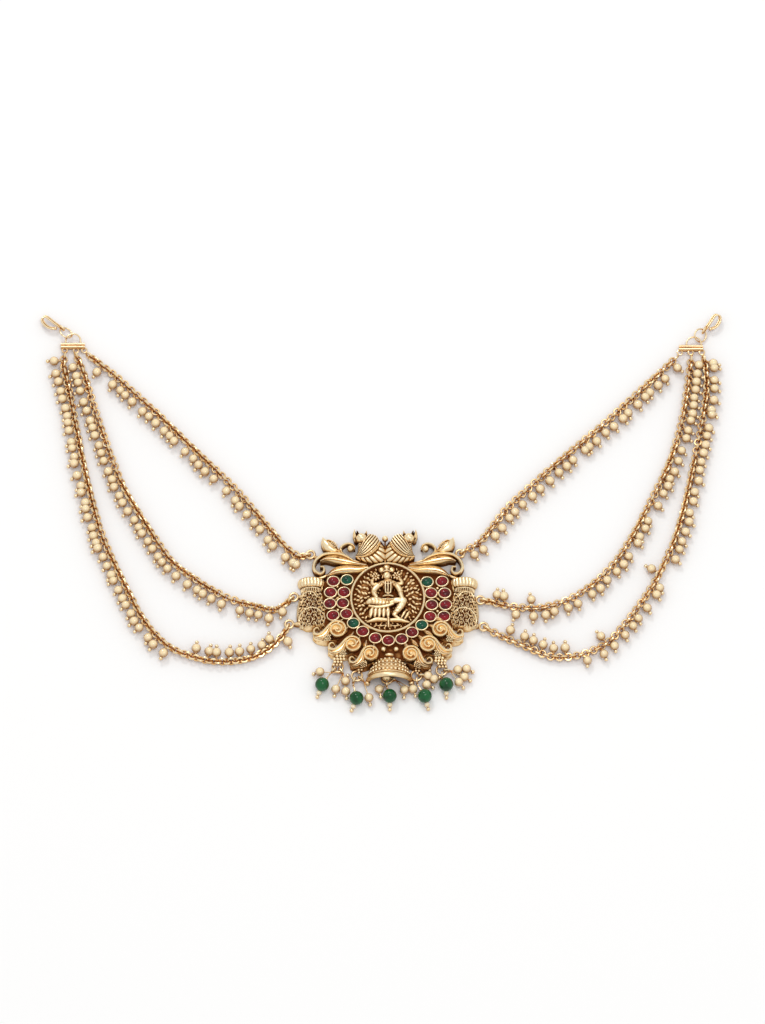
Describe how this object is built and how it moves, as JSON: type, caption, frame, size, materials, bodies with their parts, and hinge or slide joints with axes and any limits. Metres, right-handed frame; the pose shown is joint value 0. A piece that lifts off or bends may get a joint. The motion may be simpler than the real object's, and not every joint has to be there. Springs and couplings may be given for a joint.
{
  "type": "hair braid ornament",
  "caption": "Antique gold hair braid ornament: a cast brooch with a seated figure in a round frame, red and green cabochons, bead drops and draped pearl chains that end in hooks.",
  "frame": {"origin": "middle of the medallion, on the flat back of the brooch, which is the plane that the whole ornament lies on", "axes": "+X to the right of the brooch as it is seen from the front, +Y to its top, where the peacocks are, +Z out of its face"},
  "size_m": [0.2139, 0.1336, 0.0071],
  "materials": {
    "antique_gold": "antique gold plating, bright on the raised parts and brown in the recesses",
    "chain_gold": "polished gold plating",
    "red_stone": "polished opaque ruby-red glass",
    "green_stone": "polished opaque emerald-green glass",
    "green_bead": "polished green glass bead on a gold-plated pin",
    "pearl": "pearly lacquer"
  },
  "bodies": {
    "root": {"brooch_casting": "antique_gold", "medallion_disc": "antique_gold", "stone_red_01": "red_stone", "stone_red_02": "red_stone", "stone_red_03": "red_stone", "stone_red_04": "red_stone", "stone_red_05": "red_stone", "stone_red_06": "red_stone", "stone_red_07": "red_stone", "stone_red_08": "red_stone", "stone_red_09": "red_stone", "stone_red_10": "red_stone", "stone_red_11": "red_stone", "stone_red_12": "red_stone", "stone_red_13": "red_stone", "stone_red_14": "red_stone", "stone_red_15": "red_stone", "stone_red_16": "red_stone", "stone_red_17": "red_stone", "stone_red_18": "red_stone", "stone_red_19": "red_stone", "stone_green_01": "green_stone", "stone_green_02": "green_stone", "stone_green_03": "green_stone", "stone_green_04": "green_stone", "drop_1": "green_bead", "drop_2": "green_bead", "drop_3": "green_bead", "drop_4": "green_bead", "drop_5": "green_bead", "pearl_bunch_1": "pearl", "pearl_bunch_2": "pearl", "pearl_bunch_3": "pearl", "pearl_bunch_4": "pearl", "pearl_bunch_5": "pearl", "chain_left_upper": "chain_gold", "chain_left_middle": "chain_gold", "chain_left_lower": "chain_gold", "chain_right_upper": "chain_gold", "chain_right_middle": "chain_gold", "chain_right_lower": "chain_gold", "chain_ring_left_upper": "chain_gold", "chain_ring_left_middle": "chain_gold", "chain_ring_left_lower": "chain_gold", "chain_ring_right_upper": "chain_gold", "chain_ring_right_middle": "chain_gold", "chain_ring_right_lower": "chain_gold", "end_bar_left": "chain_gold", "end_ring_left": "chain_gold", "hook_left": "chain_gold", "end_bar_right": "chain_gold", "end_ring_right": "chain_gold", "hook_right": "chain_gold"}
  },
  "joints": []
}
